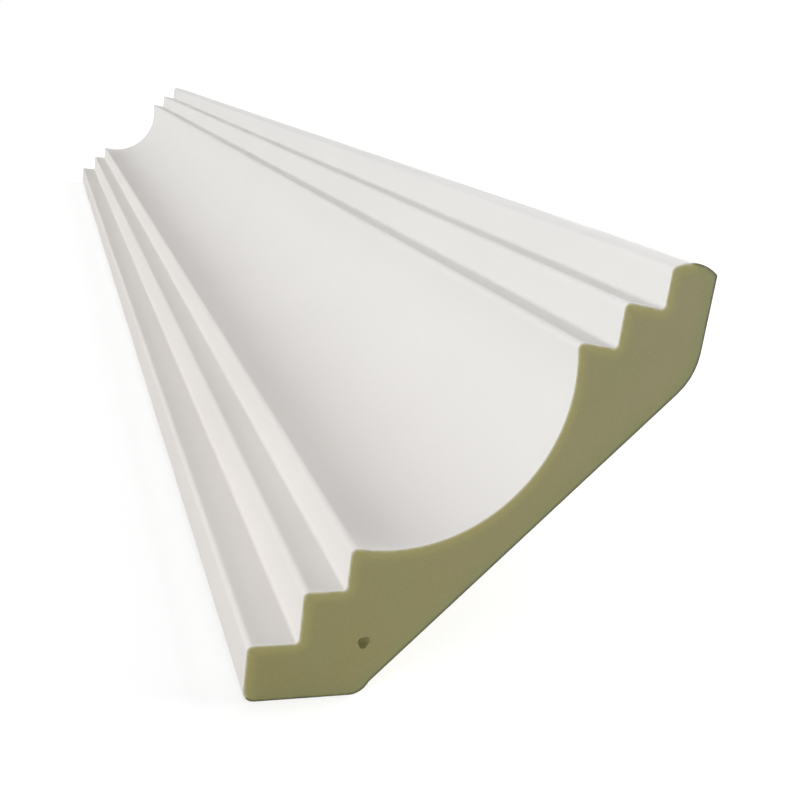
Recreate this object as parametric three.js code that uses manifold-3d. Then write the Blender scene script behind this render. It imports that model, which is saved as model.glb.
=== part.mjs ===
// A straight length of cove moulding, cast in one piece in rigid foam and sawn square at both ends.
//
// Millimetres. +X runs along the moulding, +Y into the wall it is fixed to, +Z up. The section is drawn
// from the corner where the wall and the ledge meet: its first axis runs into the wall, its second up.
// The origin of the part is the middle of the wall leg's flat face, halfway along the moulding.
import * as THREE from 'three';
import { mergeVertices } from 'three/addons/utils/BufferGeometryUtils.js';
import Module from 'manifold-3d';

// Driving dimensions
const LENGTH = 920; // between the two sawn ends
const PROJECTION = 96.3; // from the wall to the front edge
const FRONT_EDGE = 13.7; // height of the upright front edge
const LOWER_STEPS = [ // from the front edge up to the cove
  { tread: 11.1, riser: 12.2 },
  { tread: 9.4, riser: 10.1 },
];
const UPPER_STEPS = [ // from the top edge down to the cove
  { riser: 9.2, tread: 9.8 },
  { riser: 10.4, tread: 9.9 },
];
const UPPER_TREAD_FALL = 0.12; // the upper treads fall towards the wall, by this much in one
const COVE_RADIUS = 38.1;
const TOP_EDGE = 11.6; // thickness of the moulding at the top
const TOP_FRONT_HEIGHT = 100.3; // front corner of the rounded top edge
const TOP_WALL_HEIGHT = 99.3; // where the top edge meets the wall
const TOP_RADIUS = 10.5; // the top edge is a low dome
const LEDGE_LEG = 26.5; // flat that sits on the ledge, before its back corner is rounded
const HEEL = { back: 1.8, up: 3.1 }; // short heel behind the ledge leg, where the sloping back starts
const WALL_LEG_FOOT = 76.1; // height at which the wall leg turns into the sloping back

// Rounding of the corners
const FRONT_FOOT_ROUND = 2.8;
const LEDGE_BACK_ROUND = 4.6;
const WALL_BACK_ROUND = 14.3;
const OUTER_ROUND = 1.4; // every outer corner of the steps
const INNER_ROUND = 0.9; // every inner corner of the steps, and above the heel
const FACET_LENGTH = 2.4; // facets of the cove and of the top edge
const FACET_ANGLE = THREE.MathUtils.degToRad(20); // largest turn between the facets of a rounding

// An air void of the casting that the saw has opened in the near end
const VOID_ACROSS = 1.35; // half sizes of the egg-shaped bubble
const VOID_UP = 1.55;
const VOID_DEEP = 1.4;
const VOID_PLACE = { towardsWall: -70.4, up: 13 };
const VOID_LEAN = THREE.MathUtils.degToRad(-25);
const VOID_SIDES = 16;
const VOID_RINGS = 10;

const point = (x, y, radius = 0) => ({ at: new THREE.Vector2(x, y), radius });

// Points of the arc of the given radius from one point to another. It bulges to the right of the way
// travelled, and is left out of the list at both of its ends.
function arcBetween(from, to, radius) {
  const chord = to.clone().sub(from);
  const halfTurn = Math.asin(chord.length() / 2 / radius);
  const middle = from.clone().add(to).multiplyScalar(0.5);
  const inward = new THREE.Vector2(-chord.y, chord.x).normalize();
  const centre = middle.addScaledVector(inward, radius * Math.cos(halfTurn));
  const start = from.clone().sub(centre).angle();
  const facets = Math.ceil((2 * halfTurn * radius) / FACET_LENGTH);
  const points = [];
  for (let i = 1; i < facets; i += 1) {
    const angle = start + (2 * halfTurn * i) / facets;
    points.push(point(centre.x + radius * Math.cos(angle), centre.y + radius * Math.sin(angle)));
  }
  return points;
}

// The outline with each corner that has a radius replaced by an arc that touches both of its sides.
function roundOff(corners) {
  return corners.flatMap(({ at, radius }, i) => {
    if (radius === 0) return [at];
    const before = corners[(i + corners.length - 1) % corners.length].at;
    const after = corners[(i + 1) % corners.length].at;
    const arriving = at.clone().sub(before).normalize();
    const leaving = after.clone().sub(at).normalize();
    const turn = Math.atan2(arriving.cross(leaving), arriving.dot(leaving));
    const start = at.clone().addScaledVector(arriving, -radius * Math.tan(Math.abs(turn) / 2));
    const inward = new THREE.Vector2(-arriving.y, arriving.x).multiplyScalar(Math.sign(turn));
    const centre = start.clone().addScaledVector(inward, radius);
    const facets = Math.ceil(Math.abs(turn) / FACET_ANGLE);
    return Array.from({ length: facets + 1 }, (_, k) =>
      start.clone().rotateAround(centre, (turn * k) / facets));
  });
}

// Corners of the upper steps, walking down and away from the wall from the top edge's front corner.
function upperSteps(top) {
  const corners = [point(top.x, top.y, OUTER_ROUND)];
  let { x, y } = top;
  for (const { riser, tread } of UPPER_STEPS) {
    y -= riser;
    corners.push(point(x, y, INNER_ROUND));
    x -= tread;
    y += tread * UPPER_TREAD_FALL;
    corners.push(point(x, y, OUTER_ROUND));
  }
  return corners;
}

// Corners of the lower steps, walking up and towards the wall from the front edge's top corner.
function lowerSteps() {
  let x = -PROJECTION;
  let y = FRONT_EDGE;
  const corners = [point(x, y, OUTER_ROUND)];
  for (const { tread, riser } of LOWER_STEPS) {
    x += tread;
    corners.push(point(x, y, INNER_ROUND));
    y += riser;
    corners.push(point(x, y, OUTER_ROUND));
  }
  return corners;
}

// The section of the moulding, anticlockwise from the foot of the front edge.
function sectionCorners() {
  const wallTop = new THREE.Vector2(0, TOP_WALL_HEIGHT);
  const frontTop = new THREE.Vector2(-TOP_EDGE, TOP_FRONT_HEIGHT);
  const upper = upperSteps(frontTop);
  const lower = lowerSteps().reverse();
  const coveTop = upper.at(-1).at;
  const coveFoot = lower[0].at;
  const cove = arcBetween(coveFoot, coveTop, COVE_RADIUS).reverse();
  return [
    point(-PROJECTION, 0, FRONT_FOOT_ROUND),
    point(-PROJECTION + LEDGE_LEG, 0, LEDGE_BACK_ROUND),
    point(-PROJECTION + LEDGE_LEG + HEEL.back, HEEL.up, INNER_ROUND),
    point(0, WALL_LEG_FOOT, WALL_BACK_ROUND),
    { at: wallTop, radius: 0 },
    ...arcBetween(wallTop, frontTop, TOP_RADIUS),
    ...upper,
    ...cove,
    ...lower,
  ];
}

const section = roundOff(sectionCorners());

// The middle of the wall leg's flat, between its rounded foot and the top edge, becomes the origin.
const backPitch = Math.atan2(WALL_LEG_FOOT - HEEL.up, PROJECTION - LEDGE_LEG - HEEL.back);
const wallFlatFoot = WALL_LEG_FOOT + WALL_BACK_ROUND * Math.tan((Math.PI / 2 - backPitch) / 2);
const wallFlatMiddle = (wallFlatFoot + TOP_WALL_HEIGHT) / 2;
const fromSection = new THREE.Matrix4()
  .makeBasis(new THREE.Vector3(0, 1, 0), new THREE.Vector3(0, 0, 1), new THREE.Vector3(1, 0, 0))
  .setPosition(-LENGTH / 2, 0, -wallFlatMiddle);

const bar = new THREE.ExtrudeGeometry(new THREE.Shape(section), { depth: LENGTH, bevelEnabled: false });
bar.applyMatrix4(fromSection);

const bubble = new THREE.SphereGeometry(1, VOID_SIDES, VOID_RINGS);
bubble.scale(VOID_DEEP, VOID_ACROSS, VOID_UP);
bubble.rotateX(VOID_LEAN);
bubble.translate(LENGTH / 2, VOID_PLACE.towardsWall, VOID_PLACE.up - wallFlatMiddle);

const wasm = await Module();
wasm.setup();

// A closed geometry as a solid, with the vertices that its faces share merged.
function solidOf(geometry) {
  geometry.deleteAttribute('normal');
  geometry.deleteAttribute('uv');
  const merged = mergeVertices(geometry);
  return new wasm.Manifold(new wasm.Mesh({
    numProp: 3,
    vertProperties: new Float32Array(merged.attributes.position.array),
    triVerts: new Uint32Array(merged.index.array),
  }));
}

function geometryOf(solid) {
  const mesh = solid.getMesh();
  const geometry = new THREE.BufferGeometry();
  geometry.setAttribute('position', new THREE.BufferAttribute(mesh.vertProperties, mesh.numProp));
  geometry.setIndex(new THREE.BufferAttribute(mesh.triVerts, 1));
  geometry.computeVertexNormals();
  return geometry;
}

const primedFoam = new THREE.MeshStandardMaterial({ color: 0xe8e5e1, roughness: 0.55, metalness: 0 });
const moulding = new THREE.Mesh(geometryOf(solidOf(bar).subtract(solidOf(bubble))), primedFoam);
moulding.name = 'cove_moulding';

const part = new THREE.Group();
part.add(moulding);

export default part;
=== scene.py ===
"""Looks of a straight length of cove moulding: rigid foam, primed white on its moulded face."""

import bpy
import numpy as np
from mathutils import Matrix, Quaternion, Vector


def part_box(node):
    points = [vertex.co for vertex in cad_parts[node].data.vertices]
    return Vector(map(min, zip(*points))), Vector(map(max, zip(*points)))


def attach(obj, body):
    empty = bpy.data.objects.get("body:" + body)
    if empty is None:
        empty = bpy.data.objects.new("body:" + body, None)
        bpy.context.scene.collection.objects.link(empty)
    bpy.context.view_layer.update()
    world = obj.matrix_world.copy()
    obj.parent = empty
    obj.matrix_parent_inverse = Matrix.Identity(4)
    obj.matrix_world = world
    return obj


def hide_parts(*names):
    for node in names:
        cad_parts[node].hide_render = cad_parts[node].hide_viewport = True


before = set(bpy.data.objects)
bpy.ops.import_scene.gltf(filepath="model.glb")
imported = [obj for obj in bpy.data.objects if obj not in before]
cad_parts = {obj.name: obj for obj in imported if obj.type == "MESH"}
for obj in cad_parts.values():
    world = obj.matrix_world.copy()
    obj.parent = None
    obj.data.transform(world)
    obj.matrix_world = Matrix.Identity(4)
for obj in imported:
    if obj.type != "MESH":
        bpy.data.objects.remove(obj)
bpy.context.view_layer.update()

# Camera
# A hand-held close-up, about a quarter of a metre from the sawn end and looking down along the
# moulding from its front side. The picture is square and rolled a few degrees.
NODE = "cove_moulding"
low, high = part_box(NODE)
near_foot = Vector((high.x, high.y, low.z))  # where the wall and the ledge meet, at the near end
EYE = near_foot + Vector((0.1920, -0.1407, 0.1294))
AIM = near_foot + Vector((-0.0777, -0.0406, 0.0444))
ROLL = np.radians(7.52)
FOCAL_LENGTH_PIXELS = 1046
PICTURE_PIXELS = 800
SENSOR_MM = 36.0
NEAREST_SEEN = 0.01  # metres in front of the camera

camera_data = bpy.data.cameras.new("camera")
camera_data.sensor_width = SENSOR_MM
camera_data.lens = SENSOR_MM * FOCAL_LENGTH_PIXELS / PICTURE_PIXELS
camera_data.clip_start = NEAREST_SEEN
camera = bpy.data.objects.new("camera", camera_data)
camera.location = EYE
camera.rotation_mode = "QUATERNION"
camera.rotation_quaternion = (AIM - EYE).to_track_quat("-Z", "Y") @ Quaternion((0, 0, 1), ROLL)
bpy.context.scene.collection.objects.link(camera)
bpy.context.scene.camera = camera

# The moulding
# One casting in rigid polyurethane foam, drawn here by its section. The moulded face is sprayed with
# white primer, the back and the two fixing legs are bare, and both ends are sawn square.
MM = 0.001
PROJECTION = (high.y - low.y) / MM  # from the wall to the front edge
FRONT_EDGE = 13.7  # height of the upright front edge
LOWER_STEPS = [(11.1, 12.2), (9.4, 10.1)]  # tread and riser, from the front edge up to the cove
UPPER_STEPS = [(9.2, 9.8), (10.4, 9.9)]  # riser and tread, from the top edge down to the cove
UPPER_TREAD_FALL = 0.12  # the upper treads fall towards the wall, by this much in one
COVE_RADIUS = 38.1
TOP_EDGE = 11.6  # thickness of the moulding at the top
TOP_FRONT_HEIGHT = 100.3  # front corner of the top edge, which is a low dome
TOP_WALL_HEIGHT = 99.3  # where the top edge meets the wall
TOP_RADIUS = 10.5
LEDGE_LEG = 26.5  # flat that sits on the ledge, before its back corner is rounded
HEEL_BACK, HEEL_UP = 1.8, 3.1  # the short heel behind the ledge leg, where the sloping back starts
WALL_LEG_FOOT = 76.1  # height at which the wall leg turns into the sloping back
FRONT_FOOT_ROUND = 2.8
LEDGE_BACK_ROUND = 4.6
WALL_BACK_ROUND = 14.3
WALL_TOP_ROUND = 0.4
OUTER_ROUND = 1.4  # every outer corner of the steps
INNER_ROUND = 0.9  # every inner corner of the steps, and above the heel
ARC_SPACING = 1.6  # between the points of the cove and of the top edge
ROUNDING_STEP = np.radians(9)
FACE_SPACING = 2.6  # between the points of the flat faces
STATION_GAP = 0.08  # points of the section closer than this become one
LENGTH_STATIONS = 85  # rings of points along the moulding


def arc_between(start, end, radius):
    """Arc from start to end that bulges to the right of the way travelled.

    The centre lies left of the chord's middle by the radius times the cosine of the half turn, and the
    points are equal steps of angle about it, from the start to the end."""
    start, end = np.array(start), np.array(end)
    chord = end - start
    half_turn = np.arcsin(np.hypot(*chord) / 2 / radius)
    left = np.array([-chord[1], chord[0]]) / np.hypot(*chord)
    centre = (start + end) / 2 + left * radius * np.cos(half_turn)
    first = np.arctan2(*(start - centre)[::-1])
    angles = first + np.linspace(0, 2 * half_turn, int(2 * half_turn * radius / ARC_SPACING) + 2)
    return centre + radius * np.column_stack([np.cos(angles), np.sin(angles)])


def round_off(corners):
    """Closed outline in which each corner (y, z, radius) is an arc that touches both of its sides.

    The arc starts a tangent length, radius times the tangent of half the turn, before the corner. Its
    points are that start turned about a centre one radius to the inner side, in equal steps."""
    outline = []
    for here, before, after in zip(corners, np.roll(corners, 1, 0), np.roll(corners, -1, 0)):
        corner, radius = here[:2], here[2]
        arriving = (corner - before[:2]) / np.hypot(*(corner - before[:2]))
        leaving = (after[:2] - corner) / np.hypot(*(after[:2] - corner))
        turn = np.arctan2(arriving[0] * leaving[1] - arriving[1] * leaving[0], arriving @ leaving)
        start = corner - arriving * radius * np.tan(abs(turn) / 2)
        to_start = np.sign(turn) * radius * np.array([arriving[1], -arriving[0]])
        angles = np.linspace(0, turn, int(abs(turn) / ROUNDING_STEP) + 2 if radius else 1)
        turned = np.array([[np.cos(angles), -np.sin(angles)], [np.sin(angles), np.cos(angles)]])
        outline.append(start - to_start + np.einsum("ijk,j->ki", turned, to_start))
    return np.concatenate(outline)


def section_corners():
    """Corners of the section in millimetres, anticlockwise from the foot of the front edge, as rows of
    the distance into the wall, the height above the ledge and the radius of the rounding."""
    top_front = np.array([-TOP_EDGE, TOP_FRONT_HEIGHT])
    upper = [(*top_front, OUTER_ROUND)]
    for riser, tread in UPPER_STEPS:
        y, z, _ = upper[-1]
        upper.append((y, z - riser, INNER_ROUND))
        upper.append((y - tread, z - riser + tread * UPPER_TREAD_FALL, OUTER_ROUND))
    lower = [(-PROJECTION, FRONT_EDGE, OUTER_ROUND)]
    for tread, riser in LOWER_STEPS:
        y, z, _ = lower[-1]
        lower.append((y + tread, z, INNER_ROUND))
        lower.append((y + tread, z + riser, OUTER_ROUND))
    cove = arc_between(lower[-1][:2], upper[-1][:2], COVE_RADIUS)[::-1]
    dome = arc_between((0.0, TOP_WALL_HEIGHT), top_front, TOP_RADIUS)
    return np.array([
        (-PROJECTION, 0.0, FRONT_FOOT_ROUND),
        (-PROJECTION + LEDGE_LEG, 0.0, LEDGE_BACK_ROUND),
        (-PROJECTION + LEDGE_LEG + HEEL_BACK, HEEL_UP, INNER_ROUND),
        (0.0, WALL_LEG_FOOT, WALL_BACK_ROUND),
        (0.0, TOP_WALL_HEIGHT, WALL_TOP_ROUND),
        *((y, z, 0.0) for y, z in dome[1:-1]),
        *upper,
        *((y, z, 0.0) for y, z in cove[1:-1]),
        *lower[::-1],
    ])


def filled_in(outline):
    """The closed outline with extra points, evenly spaced along its length, between its own."""
    closed = np.vstack([outline, outline[:1]])
    along = np.concatenate([[0], np.cumsum(np.hypot(*np.diff(closed, axis=0).T))])
    places = np.union1d(along[:-1], np.arange(0, along[-1], FACE_SPACING))
    return np.column_stack([np.interp(places, along, closed[:, i]) for i in range(2)])


def front_and_back():
    """The section as two lines of equal count, the moulded front and the bare back.

    Both run from the front foot to the top of the wall leg, and on both the sum of the two section
    coordinates only grows. So each is read off at the same values of that sum, and the lines that join
    them pair by pair cross the section square to its diagonal."""
    outline = filled_in(round_off(section_corners()))
    outline = np.roll(outline, -outline.sum(1).argmin(), 0)
    top = outline.sum(1).argmax()
    back = outline[:top + 1]
    front = np.vstack([outline[:1], outline[top:][::-1]])
    stations = np.concatenate([outline.sum(1), VOID_STATIONS])
    stations = np.unique(np.round(stations / STATION_GAP)) * STATION_GAP
    return [np.column_stack([np.interp(stations, line.sum(1), line[:, i]) for i in range(2)])
            for line in (front, back)]


# The air void that the saw has opened in the near end: a bubble trapped in the casting. It is cut past its
# middle, so it is wider inside than at its mouth, and it slants in out of the light, so it is dark.
# Its wall is coloured far paler than the foam: painted light that lifts the shade inside it.
VOID_MIDDLE = np.array([-70.4, 13.0])
VOID_MOUTH = 1.4  # radius at the sawn end
VOID_BALL = 2.2  # radius inside
VOID_SLANT = 0.9  # shift towards the wall for each millimetre of depth
VOID_LOBES = [(2, 0.03, -1.75), (3, 0.06, -1.7)]  # waves round it, share of its radius, phase
VOID_EDGE = 1.1  # points up to this share of the mouth's radius are drawn in to its edge
VOID_REACH = 2.0  # the mesh is made finer this far round it
VOID_SPACING = 0.16
VOID_STATIONS = VOID_MIDDLE.sum() + np.arange(-VOID_REACH, VOID_REACH, VOID_SPACING) * np.sqrt(2)


def air_void(points):
    """Points of a sawn end moved onto the wall of the air void, and which of them lie in it.

    A point's share of the way from the mouth's middle to its edge is taken as the share of the angle,
    about the ball's centre, from its deepest point to the edge. The sine of that angle gives the distance
    from the middle and its cosine the depth. Mouth and ball swell and shrink with the direction, and each
    point is shifted towards the wall in proportion to its depth."""
    out = points[..., 1:] - VOID_MIDDLE
    direction = np.arctan2(out[..., 1], out[..., 0])
    swell = 1 + sum(size * np.cos(n * direction + phase) for n, size, phase in VOID_LOBES)
    share = np.hypot(out[..., 0], out[..., 1]) / (VOID_MOUTH * swell)
    angle = np.minimum(share, 1) * (np.pi - np.arcsin(VOID_MOUTH / VOID_BALL))
    depth = np.sqrt(VOID_BALL ** 2 - VOID_MOUTH ** 2) + VOID_BALL * np.cos(angle)
    distance = VOID_BALL * swell * np.sin(angle)
    towards_wall = VOID_MIDDLE[0] + distance * np.cos(direction) + VOID_SLANT * depth
    up = VOID_MIDDLE[1] + distance * np.sin(direction)
    on_wall = np.stack([points[..., 0] - depth, towards_wall, up], -1)
    return np.where((share < VOID_EDGE)[..., None], on_wall, points), share < 1


# Casting waves: the mould's own unevenness, a tenth of a millimetre over a hand's breadth
WAVE_SEED = 11
WAVE_COUNT = 7
WAVE_HEIGHT = 0.07
WAVE_LENGTHS = (70.0, 330.0)
WAVE_WIDTHS = (35.0, 150.0)


def casting_waves(along, girth):
    """Height of the unevenness at a distance along the moulding and round its section: a sum of plane
    waves with drawn lengths, widths and phases."""
    draw = np.random.default_rng(WAVE_SEED)
    lengths = draw.uniform(*WAVE_LENGTHS, WAVE_COUNT)
    widths = draw.uniform(*WAVE_WIDTHS, WAVE_COUNT)
    phases = draw.uniform(0, 2 * np.pi, WAVE_COUNT)
    turns = along[:, None, None] / lengths + girth[None, :, None] / widths
    return WAVE_HEIGHT * np.sin(2 * np.pi * turns + phases).sum(2) / np.sqrt(WAVE_COUNT)


front, back = front_and_back()
pairs = len(front)
ring = np.vstack([back, front[-2:0:-1]])
ring_count = len(ring)
crest = ring[:, 1].argmax()  # of the top edge, where the primed face ends
primed = np.arange(ring_count) >= crest
steps = np.roll(ring, -1, 0) - np.roll(ring, 1, 0)
outward = np.column_stack([steps[:, 1], -steps[:, 0]]) / np.hypot(*steps.T)[:, None]
girth = np.concatenate([[0], np.cumsum(np.hypot(*np.diff(ring, axis=0).T))])
along = np.linspace(low.x, high.x, LENGTH_STATIONS) / MM
waves = casting_waves(along, girth) * primed
bar = np.empty((LENGTH_STATIONS, ring_count, 3))
bar[:, :, 0] = along[:, None]
bar[:, :, 1:] = ring + waves[:, :, None] * outward


# Columns of the sawn ends run from the back to the front, closer together near both edges
END_COLUMNS = 24
far_columns = (1 - np.cos(np.linspace(0, np.pi, END_COLUMNS))) / 2
void_pair = np.abs(front.sum(1) - VOID_MIDDLE.sum()).argmin()
void_span = front[void_pair] - back[void_pair]
void_share = (VOID_MIDDLE - back[void_pair]) @ void_span / (void_span @ void_span)
void_columns = void_share + np.arange(-VOID_REACH, VOID_REACH, VOID_SPACING) / np.hypot(*void_span)
near_columns = np.union1d(far_columns, void_columns)


def sawn_end(edge, columns):
    """Points inside a sawn end: one row for each pair of front and back points, ruled straight between
    them, without the two rows and the two columns that lie on the edge itself."""
    back_edge = edge[1:pairs - 1, None]
    front_edge = edge[:pairs - 1:-1, None]
    return back_edge + columns[1:-1, None] * (front_edge - back_edge)


def end_numbers(ring_start, first_inside, columns):
    """Vertex numbers of a sawn end's whole grid. Its first and last columns are the edge's own vertices,
    and all of its first row, and of its last, is one single vertex."""
    numbers = np.empty((pairs, len(columns)), int)
    numbers[1:-1, 1:-1] = first_inside + np.arange((pairs - 2) * (len(columns) - 2)).reshape(pairs - 2, -1)
    numbers[:, 0] = ring_start + np.arange(pairs)
    numbers[1:-1, -1] = ring_start + np.arange(ring_count)[:pairs - 1:-1]
    numbers[0] = ring_start
    numbers[-1] = ring_start + pairs - 1
    return numbers


near_inside, in_void = air_void(sawn_end(bar[-1], near_columns))
far_inside = sawn_end(bar[0], far_columns)
side_count = LENGTH_STATIONS * ring_count
near_count = near_inside[..., 0].size
near_numbers = end_numbers(side_count - ring_count, side_count, near_columns)
far_numbers = end_numbers(0, side_count + near_count, far_columns)
points = np.concatenate([bar.reshape(-1, 3), near_inside.reshape(-1, 3), far_inside.reshape(-1, 3)])

side_numbers = np.arange(side_count).reshape(LENGTH_STATIONS, ring_count)
next_numbers = np.roll(side_numbers, -1, 1)
side_faces = np.stack(
    [side_numbers[:-1], next_numbers[:-1], next_numbers[1:], side_numbers[1:]], 2).reshape(-1, 4)


def grid_faces(numbers):
    """Quads of a grid of vertex numbers, with the end rows, where a side has no length, as triangles."""
    quads = np.stack([numbers[:-1, :-1], numbers[1:, :-1], numbers[1:, 1:], numbers[:-1, 1:]], 2)
    first = quads[0][:, [0, 1, 2]]
    last = quads[-1][:, [0, 1, 3]]
    return quads[1:-1].reshape(-1, 4).tolist() + first.tolist() + last.tolist()


near_faces = grid_faces(near_numbers)
far_faces = [face[::-1] for face in grid_faces(far_numbers)]

SHARP_ANGLE = np.radians(35)  # edges that turn more than this are not smoothed over
mesh = bpy.data.meshes.new("cove_moulding_primed")
scene_points = points * MM + np.array([0, high.y, low.z])
mesh.from_pydata(scene_points.tolist(), [], side_faces.tolist() + near_faces + far_faces)
end_faces = np.zeros(len(mesh.polygons), np.int32)
end_faces[len(side_faces):] = 1
mesh.polygons.foreach_set("material_index", end_faces)
mesh.polygons.foreach_set("use_smooth", np.ones(len(mesh.polygons), bool))
mesh.set_sharp_from_angle(angle=SHARP_ANGLE)


def distance_to(line, places):
    """Shortest distance from each place of the section to the points of a line."""
    return np.sqrt(((places[:, None] - line[None]) ** 2).sum(2).min(1))


def store(name, values):
    """Keeps one number per vertex under a name that the materials read."""
    mesh.attributes.new(name, "FLOAT", "POINT").data.foreach_set("value", values.astype(np.float32))


ends = np.concatenate([near_inside.reshape(-1, 3), far_inside.reshape(-1, 3)])[:, 1:]
for name, line in (("primed_depth", ring[primed]), ("bare_depth", ring[~primed])):
    side_depths = np.tile(distance_to(line, ring), LENGTH_STATIONS)
    store(name, np.concatenate([side_depths, distance_to(line, ends)]))
store("void", np.concatenate([np.zeros(side_count), in_void.ravel(), np.zeros(far_inside[..., 0].size)]))
OVERSPRAY = 7.0  # the primer fades out over about this much of the bare back, from both of its edges
past_edge = np.minimum(girth, girth[crest] - girth)
cover = np.where(primed, 1.0, np.exp(-past_edge / OVERSPRAY))
store("primer", np.concatenate([np.tile(cover, LENGTH_STATIONS), np.zeros(len(ends))]))


def linear(hex_colour):
    """An sRGB hex colour as linear red, green, blue and alpha."""
    srgb = np.array([int(hex_colour[i:i + 2], 16) for i in (1, 3, 5)]) / 255
    return (*np.where(srgb <= 0.04045, srgb / 12.92, ((srgb + 0.055) / 1.055) ** 2.4), 1.0)


def add(tree, kind, inputs=None, **settings):
    """Adds a node with its settings. Each input, by name or number, is a fixed value or a link."""
    node = tree.nodes.new(kind)
    for name, value in settings.items():
        setattr(node, name, value)
    for name, value in (inputs or {}).items():
        if isinstance(value, bpy.types.NodeSocket):
            tree.links.new(value, node.inputs[name])
        else:
            node.inputs[name].default_value = value
    return node


# Acrylic primer sprayed over the moulded foam skin: a satin off-white, warmer towards the foot, with a
# faint orange peel.
# On the bare back it thins out in a speckled edge to the olive skin that the mould left.
PRIMER_FOOT = linear("#e2deda")
PRIMER_TOP = linear("#dfdedc")
PRIMER_CLOUDING = 0.05  # share of its brightness that the coat loses in its darkest clouds
COAT_STARTS, COAT_WHOLE = 0.62, 1.05  # sum of cover and speckle between which the coat closes
SKIN_LIGHT = linear("#99936a")
SKIN_DARK = linear("#7f7a54")
# painted shade: the pores of the bare skin are flat dark spots, coloured as the shade in small pits
SKIN_PORE_SHADE = linear("#565236")
PRIMER_ROUGHNESS = 0.5
CLOUD_MM = 70.0
CLOUD_DETAIL = 3.0
PEEL_MM = 1.6
PEEL_DETAIL = 2.0
PEEL_DEPTH_MM = 0.03
PEEL_STRENGTH = 0.35
SKIN_CLOUD_MM = 22.0
SKIN_CLOUD_DETAIL, SKIN_CLOUD_GRAIN = 6.0, 0.65
PORE_MM = 5.0  # between the pores
PORE_RIM, PORE_FLOOR = 0.12, 0.06  # distances from a pore's middle, as shares of that
UP_AND_IN = (0, 1, 1)  # the way from the front foot to the top of the wall leg

primed_foam = bpy.data.materials.new("acrylic_primer_sprayed_on_moulded_foam")
primed_foam.use_nodes = True
tree = primed_foam.node_tree
shader = tree.nodes["Principled BSDF"]
place = add(tree, "ShaderNodeTexCoord").outputs["Object"]
rise = add(tree, "ShaderNodeVectorMath", {0: place, 1: UP_AND_IN}, operation="DOT_PRODUCT")
rise_share = add(tree, "ShaderNodeMapRange", {"Value": rise.outputs["Value"], "From Min": low.y + low.z,
                                              "From Max": high.y + high.z})
coat = add(tree, "ShaderNodeMix", {0: rise_share.outputs["Result"], 6: PRIMER_FOOT, 7: PRIMER_TOP},
           data_type="RGBA")
cloud = add(tree, "ShaderNodeTexNoise", {"Vector": place, "Scale": 1 / (CLOUD_MM * MM),
                                          "Detail": CLOUD_DETAIL})
cloud_tone = add(tree, "ShaderNodeMapRange", {"Value": cloud.outputs["Fac"], "To Min": 1.0,
                                              "To Max": 1 - PRIMER_CLOUDING})
primer = add(tree, "ShaderNodeVectorMath", {0: coat.outputs[2], "Scale": cloud_tone.outputs["Result"]},
             operation="SCALE")
skin_cloud = add(tree, "ShaderNodeTexNoise",
                 {"Vector": place, "Scale": 1 / (SKIN_CLOUD_MM * MM), "Detail": SKIN_CLOUD_DETAIL,
                  "Roughness": SKIN_CLOUD_GRAIN})
skin = add(tree, "ShaderNodeMix", {0: skin_cloud.outputs["Fac"], 6: SKIN_LIGHT, 7: SKIN_DARK},
           data_type="RGBA")
pore_cells = add(tree, "ShaderNodeTexVoronoi", {"Vector": place, "Scale": 1 / (PORE_MM * MM)})
# painted shade of the pores, darkest at their middles
pore = add(tree, "ShaderNodeMapRange", {"Value": pore_cells.outputs["Distance"], "From Min": PORE_RIM,
                                        "From Max": PORE_FLOOR})
bare = add(tree, "ShaderNodeMix", {0: pore.outputs["Result"], 6: skin.outputs[2], 7: SKIN_PORE_SHADE},
           data_type="RGBA")
speckle = add(tree, "ShaderNodeTexNoise", {"Vector": place, "Scale": 1 / (PEEL_MM * MM),
                                           "Detail": PEEL_DETAIL})
cover_value = add(tree, "ShaderNodeAttribute", attribute_name="primer")
broken = add(tree, "ShaderNodeMath", {0: cover_value.outputs["Fac"], 1: speckle.outputs["Fac"]},
             operation="ADD")
cover_share = add(tree, "ShaderNodeMapRange", {"Value": broken.outputs[0], "From Min": COAT_STARTS,
                                               "From Max": COAT_WHOLE})
colour = add(tree, "ShaderNodeMix", {0: cover_share.outputs["Result"], 6: bare.outputs[2],
                                     7: primer.outputs["Vector"]}, data_type="RGBA")
peel = add(tree, "ShaderNodeBump", {"Height": speckle.outputs["Fac"], "Distance": PEEL_DEPTH_MM * MM,
                                    "Strength": PEEL_STRENGTH})
tree.links.new(colour.outputs[2], shader.inputs["Base Color"])
tree.links.new(peel.outputs["Normal"], shader.inputs["Normal"])
shader.inputs["Roughness"].default_value = PRIMER_ROUGHNESS

# Rigid polyurethane foam, sawn: dull olive and matt, with fine cells and faint saw marks. It is greyer
# towards the top, lighter in the dense skin behind the primed face and greener behind the bare back. The
# primer shows as a pale line along its edge. Along the bare back's edge runs a dark line of painted shade.
FOAM_FOOT = linear("#8e8758")
FOAM_TOP = linear("#918c69")
FOAM_GREEN = linear("#888a5f")
FOAM_RIM = linear("#9e9762")
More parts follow.
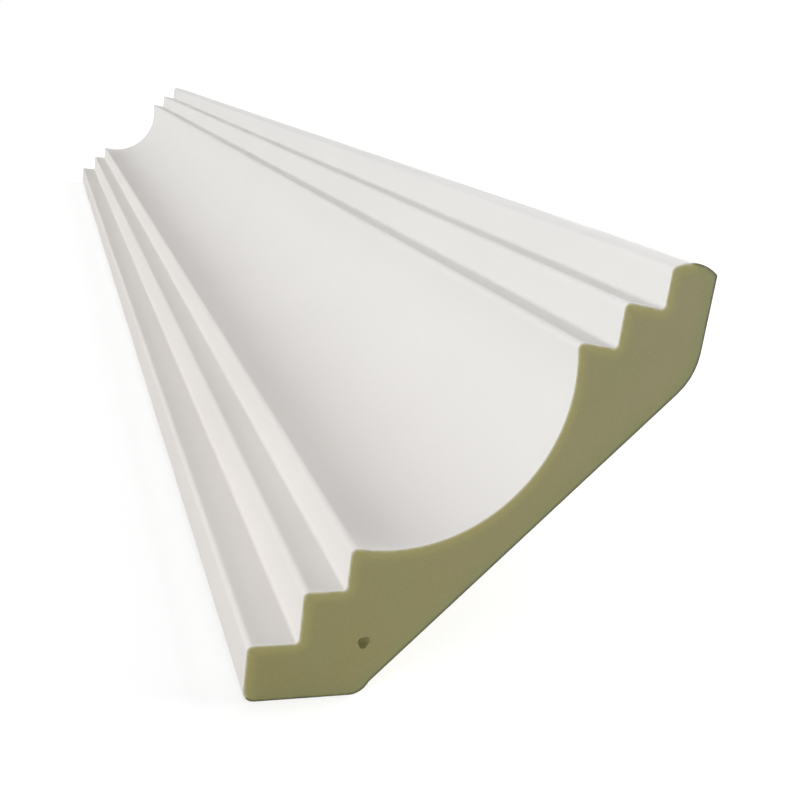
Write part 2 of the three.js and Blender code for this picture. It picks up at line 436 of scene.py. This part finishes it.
# painted shade: the dark line along the bare back's edge
FOAM_EDGE_SHADE = linear("#464830")
VOID_WALL_PAINTED_LIGHT = linear("#d6d3a9")  # wall of the air void, painted light: far paler than the foam, to lift the hollow that little light reaches
FOAM_ROUGHNESS = 0.85
FILM_MM = 0.95  # the primer's pale line
FILM_FADING = 2.0  # power by which it fades inwards
SKIN_MM = 3.6  # the dense skin behind the primed face
BACK_MM = 5.0  # the greener foam behind the bare back
EDGE_SHADE_MM = 0.75  # the dark line of painted shade along the bare back's edge
FOAM_CLOUD_MM = 17.0
FOAM_CLOUD_DETAIL, FOAM_CLOUD_GRAIN = 3.0, 0.55
GREEN_AT_BACK = 0.45  # what the nearness of the back adds to the clouds
GREEN_STARTS, GREEN_WHOLE, GREEN_MOST = 0.42, 1.0, 0.8  # sums of both, and the share of green at the second
CELL_MM = 0.45  # the real cells are about half as wide, drawn coarser so that they show
CELL_RIM = 0.9  # distance from a cell's middle, as a share of its width, at which it is lightest
CELL_DARK, CELL_LIGHT = 0.95, 1.04
CELL_DEPTH_MM = 0.06
CELL_STRENGTH = 0.5
SAW_MM = 1.3  # a diagonal wave of this scale repeats every 1.8 mm on the sawn end
SAW_WANDER, SAW_DETAIL = 2.0, 2.0
SAW_SHARE = 0.3  # height of the saw marks beside that of the cells

sawn_foam = bpy.data.materials.new("rigid_polyurethane_foam_sawn")
sawn_foam.use_nodes = True
tree = sawn_foam.node_tree
shader = tree.nodes["Principled BSDF"]
place = add(tree, "ShaderNodeTexCoord").outputs["Object"]
primed_depth = add(tree, "ShaderNodeAttribute", attribute_name="primed_depth").outputs["Fac"]
bare_depth = add(tree, "ShaderNodeAttribute", attribute_name="bare_depth").outputs["Fac"]
void = add(tree, "ShaderNodeAttribute", attribute_name="void").outputs["Fac"]
rise = add(tree, "ShaderNodeVectorMath", {0: place, 1: UP_AND_IN}, operation="DOT_PRODUCT")
rise_share = add(tree, "ShaderNodeMapRange", {"Value": rise.outputs["Value"], "From Min": low.y + low.z,
                                              "From Max": high.y + high.z})
core = add(tree, "ShaderNodeMix", {0: rise_share.outputs["Result"], 6: FOAM_FOOT, 7: FOAM_TOP},
           data_type="RGBA")
cloud = add(tree, "ShaderNodeTexNoise",
            {"Vector": place, "Scale": 1 / (FOAM_CLOUD_MM * MM), "Detail": FOAM_CLOUD_DETAIL,
             "Roughness": FOAM_CLOUD_GRAIN})
back_share = add(tree, "ShaderNodeMapRange", {"Value": bare_depth, "From Min": BACK_MM, "From Max": 0.0},
                 interpolation_type="SMOOTHSTEP")
green = add(tree, "ShaderNodeMath", {0: back_share.outputs["Result"], 1: GREEN_AT_BACK,
                                     2: cloud.outputs["Fac"]}, operation="MULTIPLY_ADD")
green_share = add(tree, "ShaderNodeMapRange", {"Value": green.outputs[0], "From Min": GREEN_STARTS,
                                               "From Max": GREEN_WHOLE, "To Max": GREEN_MOST})
with_green = add(tree, "ShaderNodeMix", {0: green_share.outputs["Result"], 6: core.outputs[2],
                                         7: FOAM_GREEN}, data_type="RGBA")
rim_share = add(tree, "ShaderNodeMapRange", {"Value": primed_depth, "From Min": SKIN_MM, "From Max": 0.0},
                interpolation_type="SMOOTHSTEP")
with_rim = add(tree, "ShaderNodeMix", {0: rim_share.outputs["Result"], 6: with_green.outputs[2],
                                       7: FOAM_RIM}, data_type="RGBA")
cells = add(tree, "ShaderNodeTexVoronoi", {"Vector": place, "Scale": 1 / (CELL_MM * MM)})
cell_tone = add(tree, "ShaderNodeMapRange", {"Value": cells.outputs["Distance"], "From Max": CELL_RIM,
                                             "To Min": CELL_DARK, "To Max": CELL_LIGHT})
toned = add(tree, "ShaderNodeVectorMath", {0: with_rim.outputs[2], "Scale": cell_tone.outputs["Result"]},
            operation="SCALE")
# painted shade along the bare back's edge, darkest at the edge itself
edge_shade_share = add(tree, "ShaderNodeMapRange", {"Value": bare_depth, "From Min": EDGE_SHADE_MM, "From Max": 0.0})
with_edge_shade = add(tree, "ShaderNodeMix", {0: edge_shade_share.outputs["Result"], 6: toned.outputs["Vector"],
                                        7: FOAM_EDGE_SHADE}, data_type="RGBA")
# painted light: the air void's wall far paler than the sawn foam
with_void_painted_light = add(tree, "ShaderNodeMix", {0: void, 6: with_edge_shade.outputs[2], 7: VOID_WALL_PAINTED_LIGHT},
                data_type="RGBA")
film_near = add(tree, "ShaderNodeMapRange", {"Value": primed_depth, "From Min": FILM_MM, "From Max": 0.0})
film_share = add(tree, "ShaderNodeMath", {0: film_near.outputs["Result"], 1: FILM_FADING},
                 operation="POWER")
colour = add(tree, "ShaderNodeMix", {0: film_share.outputs[0], 6: with_void_painted_light.outputs[2], 7: PRIMER_FOOT},
             data_type="RGBA")
saw = add(tree, "ShaderNodeTexWave", {"Vector": place, "Scale": 1 / (SAW_MM * MM) / np.pi,
                                      "Distortion": SAW_WANDER, "Detail": SAW_DETAIL},
          bands_direction="DIAGONAL")
relief = add(tree, "ShaderNodeMath", {0: saw.outputs["Fac"], 1: SAW_SHARE, 2: cells.outputs["Distance"]},
             operation="MULTIPLY_ADD")
bump = add(tree, "ShaderNodeBump", {"Height": relief.outputs[0], "Distance": CELL_DEPTH_MM * MM,
                                    "Strength": CELL_STRENGTH})
tree.links.new(colour.outputs[2], shader.inputs["Base Color"])
tree.links.new(bump.outputs["Normal"], shader.inputs["Normal"])
shader.inputs["Roughness"].default_value = FOAM_ROUGHNESS

mesh.materials.append(primed_foam)
mesh.materials.append(sawn_foam)
moulding = bpy.data.objects.new("cove_moulding_primed", mesh)
bpy.context.scene.collection.objects.link(moulding)
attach(moulding, "root")
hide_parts(NODE)

# The studio
# A plain pale floor at the foot of the ledge leg, an even white surround and three broad soft lamps: a low
# one in front of the moulding, towards its near end, a weak one above it and one behind it.
FLOOR_SIZE = 40.0  # half of its side, in metres
FLOOR_COLOUR = linear("#bcbcbc")
FLOOR_GLOW = 0.55  # lifts the floor, as it is seen, to the paleness of the surround
FLOOR_ROUGHNESS, FLOOR_SHINE = 1.0, 0.0  # wholly matt
SURROUND_LIGHT = 0.196  # as it lights the moulding
SURROUND_SEEN = 1.0  # as the camera sees it
WHITE = (1.0, 1.0, 1.0, 1.0)
LAMPS = [("front_lamp", (0.6, -1.0, 0.15), 4.1), ("top_lamp", (0.0, 0.0, 1.0), 0.84),
         ("back_lamp", (-0.3, 1.0, 0.4), 4.8)]  # name, where it stands, strength
LAMP_SPREAD = np.radians(60)

floor_corners = [(x * FLOOR_SIZE, y * FLOOR_SIZE, low.z) for x, y in ((-1, -1), (1, -1), (1, 1), (-1, 1))]
floor_mesh = bpy.data.meshes.new("studio_floor")
floor_mesh.from_pydata(floor_corners, [], [(0, 1, 2, 3)])
floor_paint = bpy.data.materials.new("pale_studio_floor")
floor_paint.use_nodes = True
tree = floor_paint.node_tree
shader = tree.nodes["Principled BSDF"]
seen = add(tree, "ShaderNodeLightPath").outputs["Is Camera Ray"]
glow = add(tree, "ShaderNodeMath", {0: seen, 1: FLOOR_GLOW}, operation="MULTIPLY")
tree.links.new(glow.outputs[0], shader.inputs["Emission Strength"])
shader.inputs["Emission Color"].default_value = WHITE
shader.inputs["Base Color"].default_value = FLOOR_COLOUR
shader.inputs["Roughness"].default_value = FLOOR_ROUGHNESS
shader.inputs["Specular IOR Level"].default_value = FLOOR_SHINE
floor_mesh.materials.append(floor_paint)
floor = bpy.data.objects.new("studio_floor", floor_mesh)
bpy.context.scene.collection.objects.link(floor)

world = bpy.data.worlds.new("studio_surround")
world.use_nodes = True
bpy.context.scene.world = world
tree = world.node_tree
seen = add(tree, "ShaderNodeLightPath").outputs["Is Camera Ray"]
strength = add(tree, "ShaderNodeMapRange",
               {"Value": seen, "To Min": SURROUND_LIGHT, "To Max": SURROUND_SEEN})
tree.links.new(strength.outputs["Result"], tree.nodes["Background"].inputs["Strength"])
tree.nodes["Background"].inputs["Color"].default_value = WHITE

for name, toward, strength in LAMPS:
    lamp_data = bpy.data.lights.new(name, "SUN")
    lamp_data.energy = strength
    lamp_data.angle = LAMP_SPREAD
    lamp = bpy.data.objects.new(name, lamp_data)
    lamp.rotation_euler = Vector(toward).to_track_quat("Z", "Y").to_euler()
    bpy.context.scene.collection.objects.link(lamp)
bpy.context.scene.view_settings.view_transform = "Standard"
